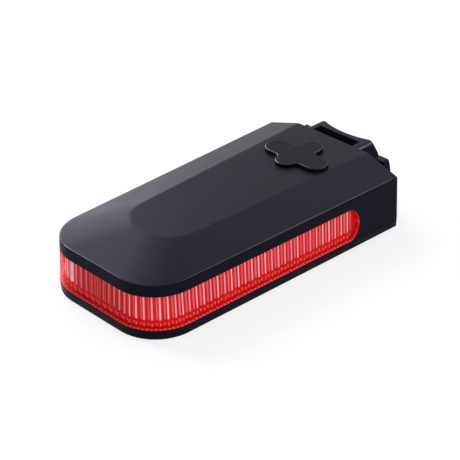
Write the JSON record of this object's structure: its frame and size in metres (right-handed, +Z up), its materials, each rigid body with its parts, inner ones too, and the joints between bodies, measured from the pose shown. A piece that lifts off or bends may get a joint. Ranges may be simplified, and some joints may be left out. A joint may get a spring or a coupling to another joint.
{
  "type": "bike rear light",
  "caption": "Rechargeable rear bicycle light: black case with a red lens round the tip and both sides, a rubber socket cover, and a hollow face with a strap slot and ears for a seat post.",
  "frame": {"origin": "middle of the whole part's footprint, on the flat face with the power button, which the light lies on", "axes": "+X from the rounded end to the seat-post end, +Y to the left of that, +Z up from the flat face to the raised flat with the socket cover"},
  "size_m": [0.0648, 0.034, 0.0139],
  "materials": {
    "case_plastic": "fine moulded grain, charcoal black",
    "red_lens": "clear red, fluted inside",
    "seal_rubber": "plain",
    "cover_rubber": "smooth, slightly satin",
    "white_plastic": "plain",
    "strip_film": "white film",
    "diode_body": "milky",
    "circuit_board": "green lacquer",
    "screw_steel": "plain",
    "cell_foil": "satin foil",
    "foam": "closed foam",
    "red_sleeve": "plain",
    "black_sleeve": "plain",
    "chip_plastic": "fine grain",
    "coil_ferrite": "dull grey",
    "capacitor_ceramic": "tan body",
    "tinned_steel": "tinned",
    "black_plastic": "plain",
    "contact_gold": "gold flash",
    "clear_plastic": "clear"
  },
  "bodies": {
    "case": {"rear_housing": "case_plastic", "front_cover": "case_plastic", "lens_band": "red_lens", "perimeter_seal": "seal_rubber", "led_carrier": "white_plastic", "led_strip": "strip_film", "side_leds": "diode_body", "main_board": "circuit_board", "board_screws": "screw_steel", "battery_cell": "cell_foil", "battery_tape": "foam", "battery_pad": "foam", "protection_board": "circuit_board", "battery_socket": "white_plastic", "lead_positive": "red_sleeve", "lead_negative": "black_sleeve", "controller_chip": "chip_plastic", "charger_chip": "chip_plastic", "power_inductor": "coil_ferrite", "chip_capacitors": "capacitor_ceramic", "usb_shell": "tinned_steel", "usb_tongue": "black_plastic", "usb_contacts": "contact_gold", "port_gasket": "seal_rubber", "port_cover_anchor": "cover_rubber", "button_retainer": "black_plastic", "switch_case": "black_plastic", "switch_terminals": "tinned_steel", "status_led": "diode_body", "light_pipe": "clear_plastic"},
    "port_flap": {"port_cover": "cover_rubber"},
    "button": {"power_button": "cover_rubber"},
    "plunger": {"switch_plunger": "white_plastic"}
  },
  "joints": [
    {"name": "port_cover_hinge", "type": "hinge", "parent": "case", "child": "port_flap", "pos_m": [0.0199, -0.0007, 0.01349], "axis": [0, 1, 0], "range_deg": [0, 110], "stiffness_Nm_per_rad": 0.0003},
    {"name": "power_button_press", "type": "slide", "parent": "case", "child": "button", "axis": [0, 0, 1], "range_m": [0, 0.0003], "stiffness_N_per_m": 6000},
    {"name": "switch_plunger_press", "type": "slide", "parent": "case", "child": "plunger", "axis": [0, 0, 1], "range_m": [0, 0.0003]}
  ],
  "couplings": [
    {"joint": "switch_plunger_press", "follows": "power_button_press", "ratio": 1}
  ]
}
